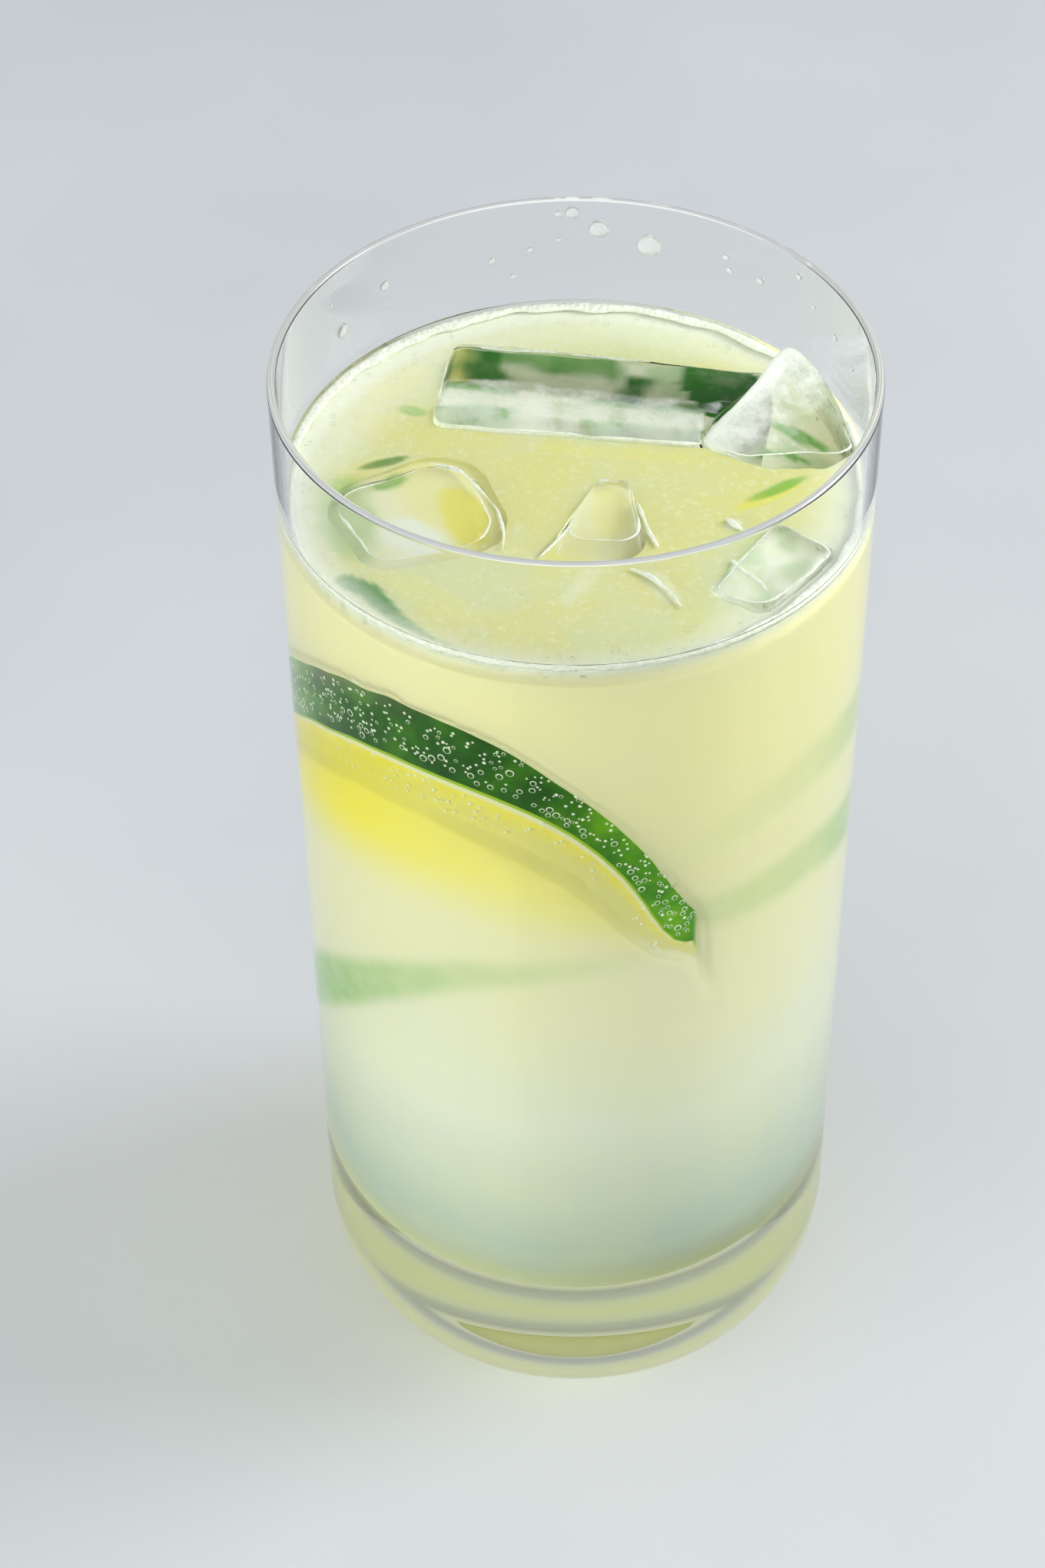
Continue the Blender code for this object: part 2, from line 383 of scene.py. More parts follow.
def painted_light_base_material():
    """The foot of the glass: a painted grey ring of shade above it, and the drink's colour painted into its
    round heel as painted light.
    """
    n = Nodes("base_glass_painted_light")
    n.principled(Base_Color=n.ramp(n.span(n.height(), 0, BASE_TOP), BASE_PAINTED_LIGHT_STOPS), Roughness=0, IOR=1.5,
                 Transmission_Weight=1, Specular_Tint=(0.45, 0.45, 0.45))
    n.lets_lamps_through((1, 1, 0.95))
    return n.material


def ice_material(name, frost_from, frost_to, most):
    """Clear ice whose worn edges are frosted white."""
    n = Nodes(name)
    worn = n.math("ADD", n.attribute("edge"), n.span(n.noise(300, 3, 0.6), 0.3, 0.7, -0.2, 0.2))
    frost = n.span(worn, frost_from, frost_to, 0, most, smooth=True)
    n.principled(Base_Color=n.mix(frost, (0.985, 0.995, 0.99), (0.93, 0.95, 0.9)),
                 Roughness=n.span(frost, 0, 1, 0.02, 0.45), IOR=1.31,
                 Transmission_Weight=n.span(frost, 0, 1, 1, 0.2),
                 Specular_Tint=(0.35, 0.35, 0.35))
    n.bump(n.noise(160, 3), 0.2, 0.0006)
    n.lets_lamps_through((0.96, 0.98, 0.97))
    return n.material


# pale colour for bubble rims and the smallest bubbles: a painted reflection
def bubble_rim_reflection_material():
    n = Nodes("bubble_rim_painted_reflection")
    n.principled(Base_Color=(0.94, 1, 0.82), Roughness=0.3, Specular_IOR_Level=0.3)
    return n.material


def froth_material():
    n = Nodes("froth")
    cell = n.add("TexVoronoi", {"Vector": n.position(), "Scale": 1500}).outputs["Distance"]
    tone = n.ramp(cell, [(0, (0.78, 0.84, 0.66)), (0.6, (0.9, 0.93, 0.82))])
    n.principled(Base_Color=tone, Roughness=0.6, Specular_IOR_Level=0.1)
    n.bump(cell, 0.6, 0.0003)
    return n.material


def cloud_material():
    n = Nodes("drink_cloud")
    colour = n.mix(n.span(n.noise(45, 3, 0.6), 0.35, 0.75, 0, 0.22), cloud_colour(n), (0.84, 0.8, 0.3))
    broad = n.span(n.noise(70, 4, 0.65), 0.4, 0.62, smooth=True)
    # painted shade: the top of the drink is given the darker colours above
    colour = n.mix(n.attribute("top"), colour, n.mix(broad, SHADED_CLOUD_TOP, SHADED_CLOUD_TOP_PALE))
    specks = n.math("MULTIPLY", n.attribute("top"), n.span(n.noise(1100, 3, 0.75), 0.52, 0.72, 0, 0.4))
    colour = n.mix(specks, colour, FROTH_WHITE)
    # painted light: the pockets under the ice are painted pale
    colour = n.mix(n.attribute("pocket"), colour, POCKET_PAINTED_LIGHT)
    colour = n.mix(n.attribute("flesh_glow"), colour, FLESH_GLOW)
    mottle = n.span(n.noise(240, 3, 0.6), 0.25, 0.75, 0.75, 1.2)
    fizz = n.span(n.noise(900, 3, 0.7), 0.2, 0.8, 0.75, 1.2)
    paints = ("rind_glow", mottle, RIND_GLOW), ("peel", mottle, PEEL), ("froth", fizz, FROTH_WHITE)
    for kind, grain, tint in paints:
        colour = n.mix(n.math("MULTIPLY", n.attribute(kind), grain), colour, tint)
    n.principled(Base_Color=colour, Roughness=0.6, Specular_IOR_Level=0)
    open_to = n.math("MAXIMUM", n.attribute("pocket"), n.attribute("flesh_glow"))
    n.lets_lamps_through(n.mix(open_to, (0.42, 0.4, 0.24), (1, 1, 0.95)))
    return n.material


def lime_material():
    n = Nodes("lime")
    rho = n.attribute("rho")
    vesicle = n.noise(520, 2)
    flesh = n.ramp(vesicle, [(0.3, (0.94, 0.84, 0.03)), (0.7, (0.98, 0.91, 0.14))])
    flesh = n.mix(n.attribute("membrane"), flesh, (0.86, 0.82, 0.26))
    face = n.mix(n.span(rho, 0.95, 0.965), flesh, (0.88, 0.89, 0.52))
    face = n.mix(n.span(rho, 0.98, 0.988), face, (0.36, 0.58, 0.02))
    fine = n.noise(170, 4, 0.65)
    dark = n.ramp(fine, [(0.3, (0.008, 0.065, 0.0005)), (0.5, (0.018, 0.12, 0.0005)),
                         (0.7, (0.05, 0.22, 0.001))])
    fresh = n.ramp(fine, [(0.3, (0.03, 0.2, 0.0005)), (0.5, (0.085, 0.34, 0.001)),
                          (0.7, (0.2, 0.52, 0.002))])
    rind = n.mix(n.attribute("fresh"), dark, fresh)
    colour = n.mix(n.span(rho, 1, 1.02), face, rind)
    colour = n.mix(n.attribute("fade"), colour, n.mix(n.attribute("glow"), cloud_colour(n), FLESH_GLOW))
    n.principled(Base_Color=colour, Roughness=0.5, Specular_IOR_Level=0.03)
    n.bump(n.noise(900, 2), 0.3, 0.0003)
    n.lets_lamps_through((1, 1, 0.8))
    return n.material


# ---- ice
def spin_of(turn):
    """Turns about x, y and z, in degrees, as one matrix."""
    x, y, z = (Matrix.Rotation(radians(angle), 3, axis) for angle, axis in zip(turn, "XYZ"))
    return np.array(z @ y @ x)


def cube_grid(cells):
    """Vertices and faces of a cube from -1 to 1, its cells smaller towards the edges."""
    verts, faces, where = [], [], {}

    def corner(axis, side, i, j):
        p = [0, 0, 0]
        p[axis] = side
        p[(axis + 1) % 3] = -cos(pi * i / cells)
        p[(axis + 2) % 3] = -cos(pi * j / cells)
        key = tuple(round(c, 6) for c in p)
        if key not in where:
            where[key] = len(verts)
            verts.append(p)
        return where[key]

    for axis in range(3):
        for side in (-1, 1):
            at = [[corner(axis, side, i, j) for j in range(cells + 1)] for i in range(cells + 1)]
            for i in range(cells):
                for j in range(cells):
                    quad = (at[i][j], at[i + 1][j], at[i + 1][j + 1], at[i][j + 1])
                    faces.append(quad if side > 0 else quad[::-1])
    return np.array(verts), faces


def rounded_block(size, top, turn, lean, melt, grow, cells, shallow=None, taper=(0, 0)):
    """Vertices, faces and edge nearness of a block of ice with rounded edges, larger by grow.

    Where shallow is given, its lower part is drawn up to about that depth."""
    half = np.array([side * MM / 2 + grow for side in size])
    radius = melt * MM + grow
    unit, faces = cube_grid(cells)
    points = unit * half
    core = np.clip(points, -(half - radius), half - radius)
    out = points - core
    normal = out / np.maximum(np.linalg.norm(out, axis=1, keepdims=True), 1e-9)
    points = core + normal * radius
    nominal = unit * np.array(size) / 2 + np.array(top)
    worn = np.array([sum(depth * noise.noise(Vector(p) * rate) for depth, rate in ICE_WEAR) for p in nominal])
    points += normal * worn[:, None] * MM
    share = np.clip(0.5 - points[:, 1] / (2 * half[1]), 0, 1)
    across = np.clip(0.5 + points[:, 0] / (2 * half[0]), 0, 1)
    points[:, 0] += share * (taper[0] * (1 - across) - taper[1] * across) * MM
    order = np.sort(np.abs(normal), axis=1)
    edge = order[:, 1] / np.maximum(order[:, 2], 1e-9)
    points[:, 2] -= size[2] * MM / 2
    if shallow:
        under = points[:, 2] < 0
        points[under, 2] = -shallow * MM * (1 - np.exp(points[under, 2] / (shallow * MM)))
    points[:, 0] += lean[0] * points[:, 2]
    points[:, 1] += lean[1] * points[:, 2]
    points = points @ spin_of(turn).T + np.array(top) * MM
    limit = np.array([inner_radius(z) - ICE_WALL_GAP + grow for z in points[:, 2]])
    squeeze = np.minimum(1, limit / np.maximum(np.hypot(points[:, 0], points[:, 1]), 1e-9))
    points[:, :2] *= squeeze[:, None]
    return points, faces, edge


EDGE_FROST = {"ice_right": 1, "ice_front": 0.75, "ice_back": 0.55, "ice_left": 0.6, "ice_centre": 0.7}


def ice_piece(name, material):
    block = ICE[name]
    points, faces, edge = rounded_block(grow=0, cells=28, **block)
    local = ice_local(block, points)
    u, v = local[:, 0] / (block["size"][0] / 2), local[:, 1] / (block["size"][1] / 2)
    worn = edge * EDGE_FROST[name]
    if name == "ice_back":
        front = np.maximum(worn, 0.62 + 0.25 * step(-v, 0, 0.9))
        worn = front * step(-v, -0.05, 0.2) + worn * step(v, -0.2, 0.05)
    if name == "ice_right":
        worn = np.maximum(worn * (0.6 - 0.4 * u), 0.95 * step(-u, 0.62, 0.9))
        worn = np.maximum(worn, 0.3 - 0.1 * u + 0.3 * step(-u, -0.3, 0.5))
    if name == "ice_front":
        worn = np.maximum(worn, 0.34)
    made = piece(name + "_clear", points, faces, material, slot="clear_ice", replaces=(name,))
    point_attributes(made, edge=worn)
    if name in ICE_CUT_BY:
        cut(made, [ice_room(ICE_CUT_BY[name], ICE_GAP)])
    return made


def ice_room(name, grow, cells=28, shallow=None):
    points, faces, _ = rounded_block(grow=grow, cells=cells, shallow=shallow, **ICE[name])
    return piece(name + "_room", points, faces, None, slot=None)


def waterline(made, level):
    """Points where the ice comes out of the drink, in order round it."""
    cutting = bmesh.new()
    cutting.from_mesh(made.data)
    whole = cutting.verts[:] + cutting.edges[:] + cutting.faces[:]
    found = bmesh.ops.bisect_plane(cutting, geom=whole, plane_co=(0, 0, level), plane_no=(0, 0, 1))
    ring = [v.co.copy() for v in found["geom_cut"] if isinstance(v, bmesh.types.BMVert)]
    cutting.free()
    middle = sum(ring, Vector()) / len(ring)
    return sorted(ring, key=lambda p: atan2(p.y - middle.y, p.x - middle.x))


def lengths(line):
    return np.concatenate([[0], np.cumsum(np.linalg.norm(np.diff(line, axis=0), axis=1))])


def evenly(ring, spacing):
    """A closed ring of points at even spacing."""
    closed = np.array([tuple(p) for p in ring] + [tuple(ring[0])])
    along = lengths(closed)
    count = max(12, int(along[-1] / spacing))
    at = np.arange(count) * along[-1] / count
    return np.stack([np.interp(at, along, closed[:, axis]) for axis in range(3)], axis=1)


def froth_line(line, thick, seed, closed=True, sides=8):
    """Vertices and faces of an uneven bead of froth along a line of points."""
    count = len(line)
    verts = []
    for i, place in enumerate(line):
        after, before = ((i + 1) % count, i - 1) if closed else (min(i + 1, count - 1), max(i - 1, 0))
        ahead = line[after] - line[before]
        across = np.array([ahead[1], -ahead[0], 0]) / max(1e-9, hypot(ahead[0], ahead[1]))
        swell = 0.42 + 1.15 * noise.noise(Vector(place) * 260 + Vector((seed, 0, 0)))
        if not closed:
            swell = (0.35 + 0.5 * swell) * sqrt(sin(pi * (i + 0.5) / count)) * 2
        for k, a in enumerate(turns(sides)):
            r = thick * min(1.3, max(0.08, swell))
            r *= 1 + 0.25 * noise.noise(Vector((place[0] * 1500, place[1] * 1500, k)))
            verts.append(place + across * (r * cos(a)) + np.array([0, 0, r * sin(a) * 0.8]))
    faces = band_faces(count, sides, closed)
    return verts, faces if closed else faces + end_faces(count, sides)


def waterline_froth(blocks, material):
    rings = [evenly(waterline(block, LEVEL + 0.1 * MM), FROTH_STEP) for block in blocks]
    lines = [froth_line(ring, 0.24 * MM, seed * 7) for seed, ring in enumerate(rings)]
    return piece("ice_waterlines", *joined(lines), material)


# thin white lines on the surface, where slivers of sunk ice reach it: places in mm, width in mm
GLINTS = [([(7.1, -5.2), (7.8, -8.1), (8.4, -10.6), (9.5, -13.5)], 0.22),
          ([(6.1, -16.7), (8.3, -18.1), (10.4, -20.7), (11.7, -23.5)], 0.3),
          ([(17.6, -15.2), (18.6, -17.4), (20.3, -19), (21.2, -20.7)], 0.26),
          ([(-17, 2.2), (-13.8, 1.1), (-11, -3), (-9, -6.4), (-8.2, -10.6), (-8.3, -14.1)], 0.2),
          ([(-4.1, -15), (-2.6, -12.8), (-1.3, -10.6), (0.2, -7.9)], 0.16),
          ([(17.4, -8.2), (18.4, -9.6), (19.4, -10.2)], 0.3)]


def surface_glints(material):
    lines = []
    for seed, (line, wide) in enumerate(GLINTS):
        line = np.array(line) * MM
        along = lengths(line)
        at = np.arange(0, along[-1], FROTH_STEP)
        x, y = np.interp(at, along, line[:, 0]), np.interp(at, along, line[:, 1])
        for _ in range(4):
            x[1:-1], y[1:-1] = (x[:-2] + 2 * x[1:-1] + x[2:]) / 4, (y[:-2] + 2 * y[1:-1] + y[2:]) / 4
        places = np.stack([x, y, np.full(len(at), LEVEL + 0.02 * MM)], axis=1)
        lines.append(froth_line(places, wide * MM, seed * 5, closed=False))
    return piece("surface_glints", *joined(lines), material)


def ice_cutters(grow, cells=20, pockets=None):
    made = []
    for name in ICE:
        cutter = ice_room(name, grow, cells, (pockets or {}).get(name))
        if name in ICE_CUT_BY and not pockets:
            cut(cutter, [ice_room(ICE_CUT_BY[name], ICE_GAP - grow)])
        made.append(cutter)
    return made


# ---- glass and drink
def between(start, end):
    """Rings on a straight wall, close to both its ends so that its shading stays straight."""
    length = dist(start, end)
    edge = 0.12 * MM / length
    shares = [edge, 3 * edge] + [i / 8 for i in range(1, 8)] + [1 - 3 * edge, 1 - edge]
    return [(start[0] + (end[0] - start[0]) * t, start[1] + (end[1] - start[1]) * t) for t in shares]


def glass_piece():
    lip = RIM_WALL / 2
    rim = arc((RIM_RADIUS - lip, GLASS_HEIGHT - lip), (lip, lip), 180, 0, 20)
    heel = arc((HEEL_RADIUS - HEEL_SETBACK, HEEL_HEIGHT), (HEEL_SETBACK, HEEL_HEIGHT), 0, -90, 40)
    corner = bottom_arc(0, 32)
    at_level = (inner_radius(LEVEL), LEVEL)
    inside = between(corner[-1], at_level) + [at_level] + between(at_level, rim[0])
    outside = between(rim[-1], (HEEL_RADIUS, BASE_TOP)) + between((HEEL_RADIUS, BASE_TOP), heel[0])
    floor_end, foot_end = corner[0][0] - 0.3 * MM, heel[-1][0] - 0.3 * MM
    profile = [(r, FLOOR_THICKNESS) for r in (0, 10 * MM, floor_end)] + corner + inside \
        + rim + outside + heel + [(foot_end, 0), (10 * MM, 0), (0, 0)]
    verts, faces = lathe(profile, 256)
    made = piece("highball_glass", verts, faces, clear_material("clear_glass", *GLASS_LOOK, 0.45),
                 slot="clear_glass", replaces=("glass",))
    # the rim's faces are partly white and not see-through: a painted highlight along the lip
    parts = dict(rim=clear_material("glass_rim_painted_highlight", (0.97, 0.99, 0.985), *GLASS_LOOK[1:], 1, 0.08, 0.45),
                 wet=clear_material("wet_glass", *GLASS_LOOK[:2], ALL_LIGHT, 0.03), base=painted_light_base_material(),
                 filled=clear_material("filled_glass", *GLASS_LOOK, 0.12))
    for material in parts.values():
        made.data.materials.append(material)
    for polygon in made.data.polygons:
        x, y, z = polygon.center
        if z > GLASS_HEIGHT - 0.6 * lip:
            part = "rim"
        elif FLOOR_THICKNESS - 0.01 * MM < z < LEVEL and hypot(x, y) < inner_radius(z) + 0.2 * MM:
            part = "wet"
        elif z < LEVEL:
            part = "base" if z < BASE_TOP else "filled"
        else:
            continue
        polygon.material_index = 1 + list(parts).index(part)
    return made


def liquid_piece(material):
    wall = inner_radius(LEVEL) + INTO_WALL
    inset = [8, 5, 3.5, 2.5, 1.8, 1.3, 0.9, 0.6, 0.35, 0.15]
    surface = [(0, LEVEL), (12 * MM, LEVEL)]
    surface += [(wall - d * MM, LEVEL + MENISCUS_RISE * exp(-d * MM / MENISCUS_WIDTH)) for d in inset]
    side = [(wall, LEVEL + MENISCUS_RISE), (wall, LEVEL + MENISCUS_RISE / 2)]
    side += list(reversed(bottom_arc(INTO_WALL, 24)))
    profile = surface + side + [(10 * MM, FLOOR_THICKNESS - INTO_WALL), (0, FLOOR_THICKNESS - INTO_WALL)]
    verts, faces = lathe(profile, 192)
    made = piece("drink_surface", verts, faces, material, replaces=("drink",))
    cut(made, ice_cutters(-INTO_WALL))
    return made


def cloud_side(z):
    """How far the cloud stands in from the wall: a clear skin near the surface, just into the wall below."""
    low, high = LEVEL - SKIN_DEPTH[1], LEVEL - SKIN_DEPTH[0]
    return -CLOUD_INTO_WALL + (CLOUD_SKIN + CLOUD_INTO_WALL) * step(z, low, high)


def cloud_piece(material, lime):
    """The cloud of lime juice that fills the drink, drawn back where the lime slice shows in front of it."""
    top = LEVEL - CLOUD_SKIN
    rows_top = [i / 60 for i in range(1, 61)]
    wall = inner_radius(top) - CLOUD_SKIN
    profile = [(0, top)] + [(wall * share, top) for share in rows_top]
    height = top - CORNER_TOP
    count = int(height / (0.6 * MM))
    for i in range(1, count):
        z = top - height * i / count
        profile.append((inner_radius(z) - cloud_side(z), z))
    profile += list(reversed(bottom_arc(CLOUD_INTO_WALL, 20)))
    base = FLOOR_THICKNESS - CLOUD_INTO_WALL
    profile += [(12 * MM, base), (0, base)]
    verts, faces = lathe(profile, CLOUD_STEPS)
    verts = np.array(verts)
    made = piece("drink_cloud", draw_back(verts, len(profile) - 2, lime), faces, material)
    cut(made, ice_cutters(0.25 * MM, 52, POCKET_DEPTH))
    colour_cloud(made)
    return made


def line_at(line, azimuth):
    """Height of a line at the azimuths, its corners rounded."""
    places, heights = [p[0] for p in line], [p[1] for p in line]
    weights = {-5: 1, -2.5: 2, 0: 3, 2.5: 2, 5: 1}
    return sum(w * np.interp(np.asarray(azimuth) + off, places, heights) for off, w in weights.items()) / 9


def step(value, low, high):
    """Smooth rise from 0 at low to 1 at high."""
    t = np.clip((value - low) / (high - low), 0, 1)
    return t * t * (3 - 2 * t)


def fall(value, low, high):
    return 1 - step(value, low, high)


def ice_local(block, points):
    """Places in mm in a block's own frame: its middle is the origin of x and y, its top z = 0."""
    local = (points / MM - np.array(block["top"])) @ spin_of(block["turn"])
    local[:, 0] -= block["lean"][0] * local[:, 2]
    local[:, 1] -= block["lean"][1] * local[:, 2]
    taper = block.get("taper", (0, 0))
    share = np.clip(0.5 - local[:, 1] / block["size"][1], 0, 1)
    left = -block["size"][0] / 2 + share * taper[0]
    right = block["size"][0] / 2 - share * taper[1]
    local[:, 0] = ((local[:, 0] - left) / (right - left) - 0.5) * block["size"][0]
    return local


def ripple_at(places, *scales):
    return np.array([noise.noise(Vector(place)) for place in places * scales])


def back_block_paint(u, v, w, ripple):
    """Dark peel and pale flesh seen through the far block, on the far wall and the floor of its pocket."""
    far = (v > 0.9) & (u < 0.97)
    soft, u = w + 2 * ripple, u + 0.1 * ripple
    top_line = 0.8 * fall(w, 0.8, 2.4) * fall(u, 0.15, 0.3)
    left = step(0.13 - np.abs(u + 0.77), -0.06, 0.06) * fall(soft, 7.5, 9)
    middle = 0.75 * step(u, -0.84, -0.7) * fall(u, 0.02, 0.1) * fall(soft, 4.2, 7)
    blob = step(0.1 - np.abs(u - 0.14 - 0.02 * (8 - w)), -0.04, 0.05) * step(w, 3.5, 5) \
        * fall(soft, 8.5, 9.6)
    leaf = step(1 - ((u - 0.72) / 0.3) ** 2 - ((w - 5.6 - 4 * (u - 0.72)) / 5.2) ** 2, 0, 0.12)
    mid = 0.45 * step(u, 0.24, 0.3) * fall(u, 0.46, 0.5) * fall(soft, 5, 8)
    peel = np.maximum.reduce([0.75 * top_line, 0.9 * left, 0.55 * middle, 0.9 * blob, leaf]) * far
    low_line = 0.9 * step(1 - np.abs(w - 9.5 - ripple), 0, 0.6)
    glow = np.maximum.reduce([top_line, left, middle, mid, low_line]) * far
    yellow = (step(-u, 0.86, 0.9) * 0.6 + 0.25 * step(0.3 - np.abs(u - 0.02), 0, 0.1) * step(w, 8, 9)) * far
    glow = np.maximum(glow, ~far * np.clip(0.1 + 0.5 * ripple, 0, 0.28))
    lens = step(1 - ((u + 0.36) / 0.32) ** 2 - ((w - 8.6) / 1.7) ** 2, 0, 0.3) * far
    return {"peel": peel * (1 - lens), "rind_glow": glow * (1 - lens), "flesh_glow": yellow * (1 - lens)}


def colour_cloud(made):
    """What shows in the cloud: froth, the pockets of the ice, painted pale as painted light, and the glow of
    slices deeper in it.
    """
    points = np.array([v.co for v in made.data.vertices])
    x, y, z = (points / MM).T
    radius = np.hypot(x, y)
    azimuth = np.degrees(np.arctan2(y, x)) % 360
    wall, level = inner_radius(LEVEL) / MM, LEVEL / MM
    side = fall(z, level - 4, level - 1.5)
    on_top = z > level - 0.6

    paint = {kind: np.zeros(len(points)) for kind in ("pocket", "rind_glow", "flesh_glow", "peel", "froth")}
    pockets = np.zeros(len(points), dtype=bool)
    for name, block in ICE.items():
        local = ice_local(block, points)
        half = np.array(block["size"]) / 2
        near = (np.abs(local + [0, 0, half[2]]) < half + 0.9).all(axis=1)
        inside = near & (z < level - 0.45) & (radius < wall - 0.45)
        pockets |= inside
        # painted light: the pocket round each block is painted pale
        paint["pocket"][inside] = POCKET_LIGHT_SHARE.get(name, 0.7)
        u, v, w = (local[inside] / [half[0], half[1], -1]).T
        ripple = ripple_at(local[inside], 0.35, 0.35, 0.35)
        if name == "ice_back":
            for kind, values in back_block_paint(u, v, w, ripple).items():
                paint[kind][inside] = values
        elif name == "ice_right":
            streak = np.clip(0.2 + 1.1 * ripple_at(local[inside], 0.12, 0.5, 0.2), 0, 0.7)
            paint["rind_glow"][inside] = 0.5 * streak
            paint["peel"][inside] = 0
        elif name == "ice_left":
            paint["flesh_glow"][inside] = 0.3 * step(u, -0.2, 0.2)
        elif name == "ice_front":
            paint["rind_glow"][inside] = np.clip(0.15 + 0.6 * ripple, 0, 0.35)

    def add(kind, values):
        paint[kind] = np.maximum(paint[kind], values)

    shown = on_top | pockets
    wobble = np.zeros(len(points))
    wobble[shown] = 0.35 * ripple_at(points[shown] / MM, 0.45, 0.45, 0.1)
    for kind, patches in PATCHES.items():
        for px, py, long, wide, turn, strength in patches:
            c, s = cos(radians(turn)), sin(radians(turn))
            along, across = ((x - px) * c + (y - py) * s) / long, ((y - py) * c - (x - px) * s) / wide
            shape = strength * step(1.25 - along ** 2 - across ** 2 + wobble, 0, 0.9) * shown
            add(kind, shape)

    top, low = line_at(RIND_LOW, azimuth), line_at(FACE_LOW, azimuth)
    share = np.clip((top + 3 - z) / np.maximum(top + 3 - low, 1), 0, 1.4)
    glow = fall(share, 0.55, 1.03) * step(top + 3 - z, -0.5, 0.5)
    glow *= step(azimuth, 184, 196) * fall(azimuth, 282, 292) * side
    add("flesh_glow", glow * line_at(GLOW_STRENGTH, azimuth))
    for band in BANDS:
        top, low, strength = (line_at(band[part], azimuth) for part in ("top", "low", "strength"))
        here = step(top - z, -1.8, 1.8) * step(z - low, -1.8, 1.8) * side
        add("rind_glow", here * strength)

    for (x0, y0, w0, s0), (x1, y1, w1, s1) in zip(SURFACE_ARC[:-1], SURFACE_ARC[1:]):
        t = np.clip(((x - x0) * (x1 - x0) + (y - y0) * (y1 - y0)) / ((x1 - x0) ** 2 + (y1 - y0) ** 2), 0, 1)
        nearest = np.hypot(x - x0 - t * (x1 - x0), y - y0 - t * (y1 - y0))
        shape = (s0 + (s1 - s0) * t) * step((w0 + (w1 - w0) * t) - nearest, -0.2, 0.5) * on_top
        add("peel", 0.8 * shape)
        add("rind_glow", shape)

    width = line_at(FROTH_WIDTH, azimuth)
    froth = step(radius, wall - width - 1.5, wall - 0.5 * width) * on_top
    froth = np.maximum(froth, 0.62 * step(radius, wall - 2.4 * width - 2, wall - 0.8 * width) * on_top)
    froth = np.maximum(froth, 0.5 * step(z, level - 2.2, level - 0.4) * (radius > wall - 1.5))
    add("froth", froth)
    point_attributes(made, top=on_top, **{kind: np.clip(values, 0, 1) for kind, values in paint.items()})


POCKET_OPEN = 0.6 * MM  # up to this depth the cloud stays behind the slice
POCKET_SHUT = 0.66 * MM  # from this depth on it covers it
POCKET_BACK = 0.1 * MM
POCKET_BLUR = 2


def draw_back(verts, rings, lime):
    """Moves the cloud's side in behind the lime slice, and back out over it where it lies deeper."""
    grid = verts[:rings * CLOUD_STEPS].reshape(rings, CLOUD_STEPS, 3)
    radius = np.hypot(grid[..., 0], grid[..., 1])
    depth = np.zeros((rings, CLOUD_STEPS))
    held = np.zeros((rings, CLOUD_STEPS), dtype=bool)
    for i in range(rings):
        z = grid[i, 0, 2]
        if z > LEVEL - 3 * MM or z < CORNER_TOP or radius[i, 0] < inner_radius(z) - 2 * CLOUD_SKIN:
            continue
        for j in range(CLOUD_STEPS):
            inward = Vector((-grid[i, j, 0], -grid[i, j, 1], 0)).normalized()
            start = Vector((0, 0, z)) - inward * inner_radius(z)
            far = lime.ray_cast(start, inward, POCKET_SHUT)[3]
            if far is not None:
                depth[i, j] = (far + POCKET_BACK + CLOUD_INTO_WALL) * fall(far, POCKET_OPEN, POCKET_SHUT)
                held[i, j] = far < POCKET_OPEN
    for grown in (depth, held):
        grown[:] = np.maximum.reduce([grown, np.roll(grown, 1, 1), np.roll(grown, -1, 1)])
        grown[1:-1] = np.maximum.reduce([grown[:-2], grown[1:-1], grown[2:]])
    blurred = depth.copy()
    for _ in range(POCKET_BLUR):
        blurred = (np.roll(blurred, 1, 1) + np.roll(blurred, -1, 1) + 2 * blurred) / 4
        blurred[1:-1] = (blurred[:-2] + blurred[2:] + 2 * blurred[1:-1]) / 4
    depth = np.where(held, np.maximum(depth, blurred), blurred)
    scale = (radius - depth) / np.maximum(radius, 1e-9)
    grid[..., :2] *= scale[..., None]
    return verts


# ---- lime slice
SEGMENTS = 10


def shown_depth(depth):
    """How deep a slice's point is drawn: never nearer than the clearance, never deep in the drink."""
    if depth <= WALL_CLEARANCE:
        return WALL_CLEARANCE
    return WALL_CLEARANCE + SHOWN_DEPTH * (1 - exp((WALL_CLEARANCE - depth) / DEPTH_SCALE))


def peel_depth(share, azimuth):
    """How much deeper than the clearance the peel is drawn, in mm, at a share of the way up it."""
    return (0.04 + 0.22 * share ** 2) * fall(azimuth, 240, 270)


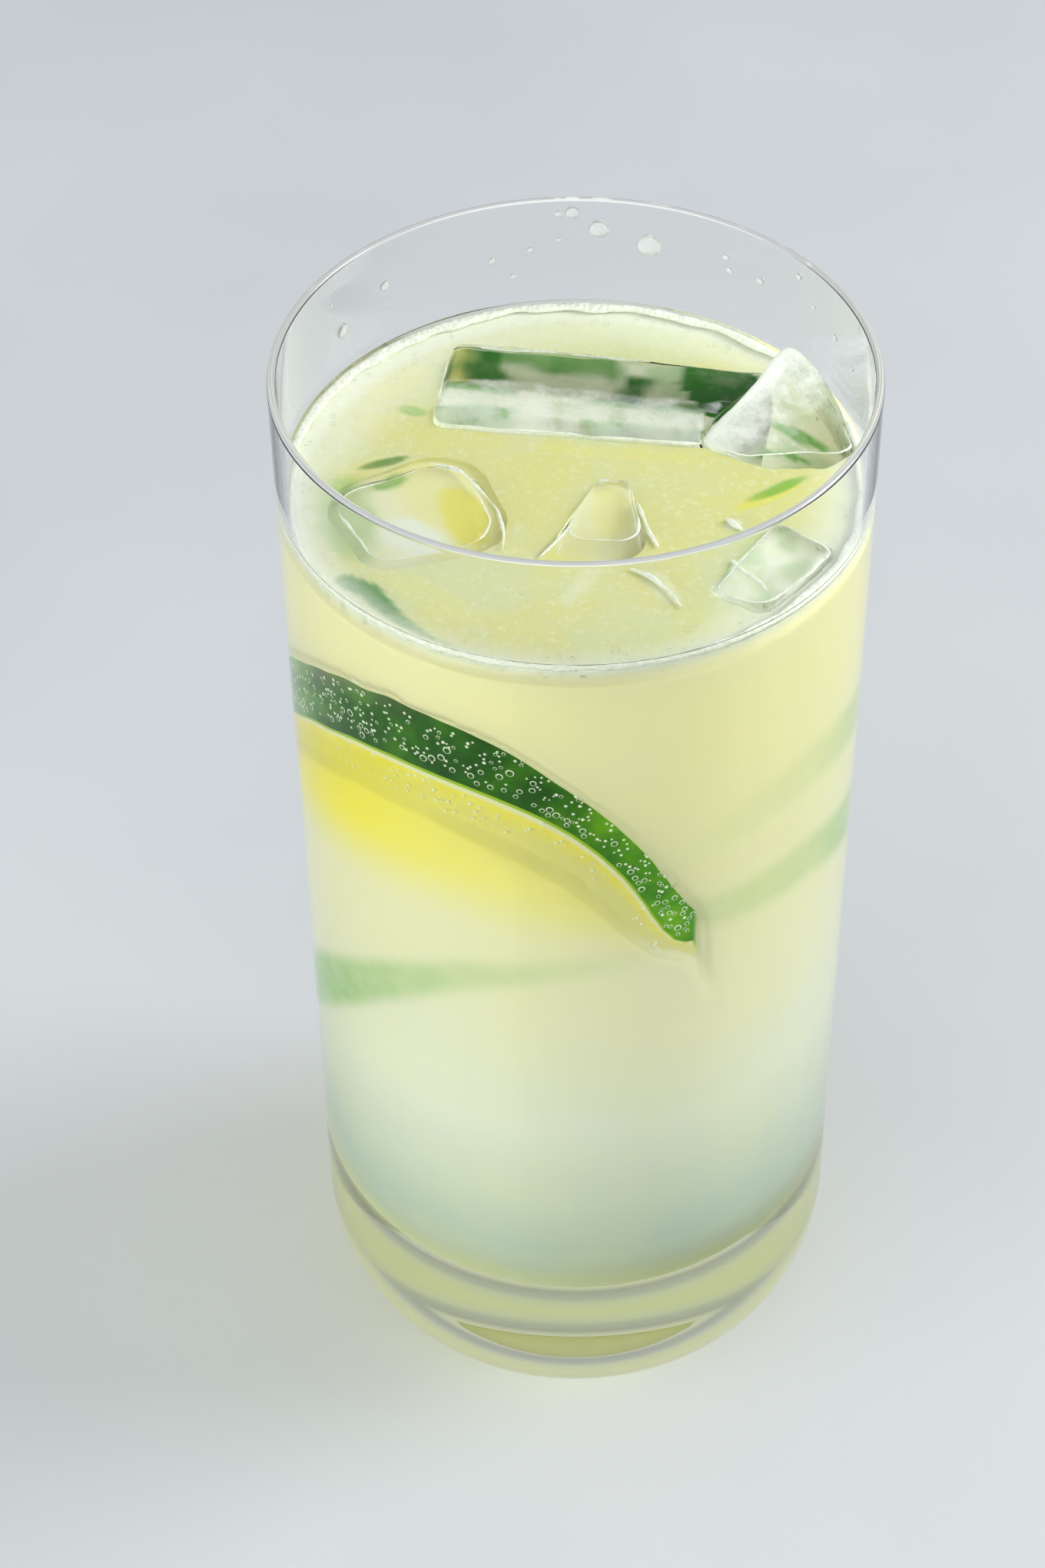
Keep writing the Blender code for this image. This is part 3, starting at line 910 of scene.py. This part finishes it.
def lime_slice(material, centre, azimuth, elevation, radius, thickness, seed):
    """A wheel of lime whose upper edge leans on the wall of the glass, its peel flat against it."""
    draw = random.Random(seed)
    a, e = radians(azimuth), radians(elevation)
    n = Vector((cos(e) * sin(a), -cos(e) * cos(a), sin(e)))
    u = n.cross(Vector((0, 0, 1))).normalized()
    v = n.cross(u)
    spokes = [(i + draw.uniform(-0.22, 0.22)) * tau / SEGMENTS for i in range(SEGMENTS)]
    steps, rings, rim_rows = 384, 64, 26

    def on_disc(rho, phi, height):
        r = rho * radius
        return Vector(centre) * MM + (u * (r * cos(phi)) + v * (r * sin(phi)) + n * height) * MM

    lift, pull, tall, turned = [], [], [], []
    for phi in turns(steps):
        edge = on_disc(1, phi, thickness / 2)
        around = degrees(atan2(edge.y, edge.x)) % 360
        held = step(degrees(phi), 150, 160) * fall(degrees(phi), 344, 359)
        low = line_at(RIND_LOW, around)
        lift.append(held * ((low - 0.3) * MM - edge.z))
        pull.append(held * (inner_radius(edge.z) - hypot(edge.x, edge.y) - WALL_CLEARANCE))
        tall.append(max(0.9, line_at(RIND_TOP, around) - low) * MM)
        turned.append(around)

    radii = [0.02 + 0.98 * (i / (rings - 1)) ** 0.8 for i in range(rings)]
    rows = [(rho, 0, "face") for rho in radii] \
        + [(1, (i + 1) / rim_rows, "rim") for i in range(rim_rows)] \
        + [(rho, 1, "back") for rho in reversed(radii[:-1])]
    verts = []
    shade = {kind: [] for kind in ("rho", "membrane", "fade", "glow", "fresh")}
    for rho, back, kind in rows:
        for j, phi in enumerate(turns(steps)):
            gap = min(abs((phi - s + pi) % tau - pi) for s in spokes)
            along = gap * rho * radius
            line, height = 0, thickness / 2
            if kind == "face" and rho < 0.96:
                line = max(0, 1 - along / 0.7) if rho > 0.06 else 1
                wave = noise.noise(Vector((rho * 14 * cos(phi), rho * 14 * sin(phi), seed)))
                height += 0.25 * min(1, along / 2.5) + 0.15 * wave - 0.2
            spot = on_disc(rho, phi, height)
            spot.z += lift[j] * rho ** 3
            depth = inner_radius(spot.z) - hypot(spot.x, spot.y) - pull[j] * rho ** 3
            shown = shown_depth(depth)
            spot.z += tall[j] * back
            if kind == "rim":
                shown += peel_depth(back, turned[j]) * MM - 0.05 * MM * sin(pi * back)
                spot.z += 0.22 * MM * noise.noise(Vector((phi * 8, seed, 0)))
            elif kind == "back":
                shown += 0.6 * MM
            shown = max(shown, 0.22 * MM)
            scale = (inner_radius(spot.z) - shown) / max(hypot(spot.x, spot.y), 1e-6)
            verts.append(Vector((spot.x * scale, spot.y * scale, spot.z)))
            haze = 0
            if kind == "rim":
                left, tip = 0.12 * fall(turned[j], 186, 204), fall(degrees(phi), 156, 161) * (phi > pi / 2)
                haze = max(0.15 * step(back, 0.6, 1) * fall(turned[j], 215, 245), left, tip)
            sunk = 0.9 * step(depth, 0.6 * MM, 4 * MM) if kind == "face" else 0
            shade["rho"].append(1.05 if kind != "face" and back > 0.02 else rho)
            shade["membrane"].append(line)
            shade["fade"].append(max(haze, sunk))
            shade["glow"].append(line_at(GLOW_STRENGTH, turned[j]) if kind == "face" else 0)
            shade["fresh"].append(step(turned[j], 258, 286) + 0.8 * fall(turned[j], 194, 216))
    faces = band_faces(len(rows), steps) + end_faces(len(rows), steps)
    if u.cross(v).dot(n) < 0:
        faces = [tuple(reversed(f)) for f in faces]
    made = piece("lime_front", verts, faces, material)
    point_attributes(made, **shade)
    made.data.set_sharp_from_angle(angle=radians(50))
    return made


def tree_of(made):
    mesh = made.data
    return BVHTree.FromPolygons([v.co for v in mesh.vertices], [tuple(p.vertices) for p in mesh.polygons])


# ---- froth, bubbles and drops
def froth_ring(material):
    """The bead of froth where the drink meets the wall, reaching just into it."""
    steps, sides = 720, 12
    wall = inner_radius(LEVEL)
    verts = []
    for i in range(steps):
        phi = 360 * i / steps
        c, s = cos(radians(phi)), sin(radians(phi))
        wide = line_at(FROTH_WIDTH, phi) * MM * 0.45
        wide *= 0.75 + 0.5 * noise.noise(Vector((c * 7, s * 7, 1)))
        tall = (0.42 + 0.22 * noise.noise(Vector((c * 12, s * 12, 4)))) * MM
        for a in turns(sides):
            rough = 1 + 0.16 * noise.noise(Vector((c * 60, s * 60, a)))
            r = wall + 0.05 * MM - wide / 2 + wide / 2 * cos(a) * (rough if cos(a) < 0 else 1)
            verts.append((r * c, r * s, LEVEL + 0.22 * MM + tall * sin(a) * rough))
    return piece("froth_ring", verts, band_faces(steps, sides, closed=True), material)


def beads(name, places, material, flatten=1):
    """One mesh of many small balls. Each place is (x, y, z, radius) in metres."""
    ball = bmesh.new()
    bmesh.ops.create_icosphere(ball, subdivisions=2, radius=1)
    unit = np.array([v.co for v in ball.verts])
    faces = [tuple(v.index for v in f.verts) for f in ball.faces]
    ball.free()
    balls = []
    for x, y, z, r in places:
        stretch = unit * r
        if flatten != 1:
            out = np.array([x, y, 0]) / hypot(x, y)
            stretch = stretch - np.outer(stretch @ out, out) * (1 - flatten)
        balls.append((stretch + np.array([x, y, z]), faces))
    return piece(name, *joined(balls), material)


def bubble_reflection_rims(name, places, material):
    """The bright rims of bubbles as painted reflection: small pale rings that face out of the glass and a
    little up.
    """
    around, sides = 14, 6
    faces = band_faces(around, sides, closed=True)
    rims = []
    for x, y, z, r in places:
        facing = Vector((x, y, 0)).normalized() + Vector((0, 0, 0.12))
        right = facing.cross(Vector((0, 0, 1))).normalized()
        up = right.cross(facing).normalized()
        facing.normalize()
        verts = []
        for a in turns(around):
            out = right * cos(a) + up * sin(a)
            thick = r * (0.17 + 0.08 * sin(a))
            for b in turns(sides):
                wide = out * (0.84 * r + thick * cos(b))
                verts.append(Vector((x, y, z)) + wide + facing * (thick * sin(b)))
        rims.append((verts, faces))
    return piece(name, *joined(rims), material)


def by_wall(azimuth, z, depth, radius):
    """A ball whose middle lies at a depth from the inside of the glass."""
    reach, a = inner_radius(z) - depth, radians(azimuth)
    return reach * cos(a), reach * sin(a), z, radius


def rind_bubbles(clear, rim):
    """Bubbles of gas that cling to the peel and to the cut face below it."""
    draw = random.Random(11)
    places = []
    for count, azimuths, shares, radii in RIND_BUBBLES:
        for _ in range(count):
            azimuth, share, r = draw.uniform(*azimuths), draw.uniform(*shares), draw.uniform(*radii)
            low, high = line_at(RIND_LOW, azimuth), line_at(RIND_TOP, azimuth)
            z = (low + 0.15 + r + share * max(1.2, high - low - 0.3)) if share > 0 else low - 0.3 + 5 * share
            depth = WALL_CLEARANCE / MM + peel_depth(max(0, share), azimuth) - 0.08 * r
            ball = by_wall(azimuth, z * MM, depth * MM, r * MM)
            if all(dist(ball[:3], p[:3]) > 0.95 * (ball[3] + p[3]) for p in places):
                places.append(ball)
    # painted reflection: the smallest bubbles are pale beads, the larger ones get pale rings
    ringed = [p for p in places if p[3] >= RINGED * MM]
    beads("rind_bubble_reflection_beads", [p for p in places if p[3] < RINGED * MM], rim, flatten=0.5)
    bubble_reflection_rims("rind_bubble_reflection_rims", ringed, rim)
    return beads("rind_bubbles", ringed, clear, flatten=0.5)


def ring_bubbles(clear, rim):
    """Bubbles under the edge of the drink and floating by its wall."""
    draw = random.Random(23)
    places = []
    for low, high, count, biggest in ((200, 238, 46, 0.55), (238, 300, 40, 0.34), (300, 345, 30, 0.45),
                                      (345, 560, 150, 0.42)):
        for _ in range(count):
            azimuth, radius = draw.uniform(low, high), draw.uniform(0.16, biggest) * MM
            places.append(by_wall(azimuth, LEVEL - draw.uniform(0.2, 1.9) * MM, radius + 0.04 * MM, radius))
    for _ in range(150):
        azimuth, radius = draw.uniform(0, 360), draw.uniform(0.14, 0.36) * MM
        width = line_at(FROTH_WIDTH, azimuth)
        x, y = by_wall(azimuth, LEVEL, draw.uniform(0.4, width + 1.2) * MM, radius)[:2]
        places.append((x, y, LEVEL + 0.05 * MM, radius))
    for x, y, radius in ((4.3, -30.6, 0.5), (5.3, -31.2, 0.35), (12.2, -27.2, 0.4), (13, -26.4, 0.3),
                         (-6, -21, 0.3), (15.5, -20.5, 0.35)):
        places.append((x * MM, y * MM, LEVEL + 0.1 * MM, radius * MM))
    # painted reflection: pale rings on the larger bubbles
    bubble_reflection_rims("drink_bubble_reflection_rims", [p for p in places if p[3] >= 0.3 * MM and p[2] < LEVEL], rim)
    return beads("drink_bubbles", places, clear)


def wall_drops(material):
    """Drops on the inside of the glass above the drink, their backs just in the wall."""
    places = [by_wall(azimuth, z * MM, 0.05 * MM, radius * MM) for azimuth, z, radius in DROPS]
    return beads("wall_drops", places, material, flatten=0.45)


# ---- stage
def floor():
    n = Nodes("pale_floor")
    tone = n.ramp(n.noise(9, 3), [(0.3, (0.6, 0.63, 0.665)), (0.7, (0.655, 0.68, 0.71))])
    n.principled(Base_Color=tone, Roughness=0.6, Specular_IOR_Level=0.2)
    half = 2
    mesh = bpy.data.meshes.new("floor")
    corners = [(-half, -half, 0), (half, -half, 0), (half, half, 0), (-half, half, 0)]
    mesh.from_pydata(corners, [], [(0, 1, 2, 3)])
    mesh.materials.append(n.material)
    made = placed("floor", mesh)
    made.location.z = -0.0001


def area_light(name, place, size, power, colour, seen=False):
    light = bpy.data.lights.new(name, "AREA")
    light.shape = "RECTANGLE"
    light.size, light.size_y = size
    light.energy = power
    light.color = colour
    made = placed(name, light)
    made.location = place
    made.rotation_euler = (LAMP_AIM - Vector(place)).to_track_quat("-Z", "Y").to_euler()
    made.visible_glossy = seen
    made.visible_transmission = False


def lights():
    area_light("key", (0.75, 0.12, 0.58), (0.4, 0.5), 5.1, (1, 0.985, 0.955), seen=True)
    area_light("fill", (-0.7, -0.6, 0.7), (0.9, 0.9), 1.8, (0.93, 0.965, 1))
    area_light("side_fill", (-0.9, -0.35, 0.2), (0.6, 0.35), 3.6, (1, 0.99, 0.96))
    area_light("front_fill", (-0.25, -1.1, 0.35), (1.2, 0.5), 5.8, (1, 1, 0.98))
    world = bpy.data.worlds.new("soft_room")
    world.use_nodes = True
    tree = world.node_tree
    kinds = "TexCoord", "SeparateXYZ", "ValToRGB"
    place, split, ramp = (tree.nodes.new("ShaderNode" + kind) for kind in kinds)
    tree.links.new(place.outputs["Generated"], split.inputs[0])
    tree.links.new(split.outputs["Z"], ramp.inputs["Fac"])
    ramp.color_ramp.elements[0].color = (0.4, 0.41, 0.42, 1)
    ramp.color_ramp.elements[1].color = (0.95, 0.98, 1, 1)
    ramp.color_ramp.elements[1].position = 0.55
    background = tree.nodes["Background"]
    background.inputs["Strength"].default_value = 0.6
    tree.links.new(ramp.outputs["Color"], background.inputs["Color"])
    bpy.context.scene.world = world


LAMP_AIM = Vector((0, 0, 0.07))
CAMERA_PITCH = 43.4
CAMERA_DISTANCE = 420 * MM
CAMERA_AIM = 85.6 * MM
CAMERA_LENS = 76.2
CAMERA_SHIFT = (-0.034, -0.002)


def camera():
    data = bpy.data.cameras.new("camera")
    data.lens = CAMERA_LENS
    data.sensor_width = 36
    data.shift_x, data.shift_y = CAMERA_SHIFT
    pitch = radians(CAMERA_PITCH)
    made = placed("camera", data)
    made.location = (0, -CAMERA_DISTANCE * cos(pitch), CAMERA_AIM + CAMERA_DISTANCE * sin(pitch))
    made.rotation_euler = (pi / 2 - pitch, 0, 0)
    bpy.context.scene.camera = made


def main():
    glass_piece()
    liquid_piece(clear_material("drink_surface", (0.99, 0.995, 0.96), 1.34, ALL_LIGHT, 0.25))
    clear, frosty = ice_material("clear_ice", 0.45, 0.95, 0.55), ice_material("frosty_ice", 0.25, 0.85, 0.75)
    blocks = [ice_piece(name, frosty if name in FROSTY else clear) for name in ICE]
    froth = froth_material()
    waterline_froth(blocks, froth)
    surface_glints(froth)
    froth_ring(froth)
    cloud_piece(cloud_material(), tree_of(lime_slice(lime_material(), **LIME)))
    gas = clear_material("bubble", (0.98, 0.99, 0.98), 1.12, (0.97, 0.98, 0.97), roughness=0.02)
    # painted reflection for the bubbles' rims
    rim = bubble_rim_reflection_material()
    rind_bubbles(gas, rim)
    ring_bubbles(gas, rim)
    wall_drops(clear_material("water_drop", (0.97, 0.98, 0.97), 1.33, (0.97, 0.98, 0.97), 1, 0.1, 0.8))
    floor()
    lights()
    camera()
    bpy.context.scene.view_settings.view_transform = "Standard"


main()
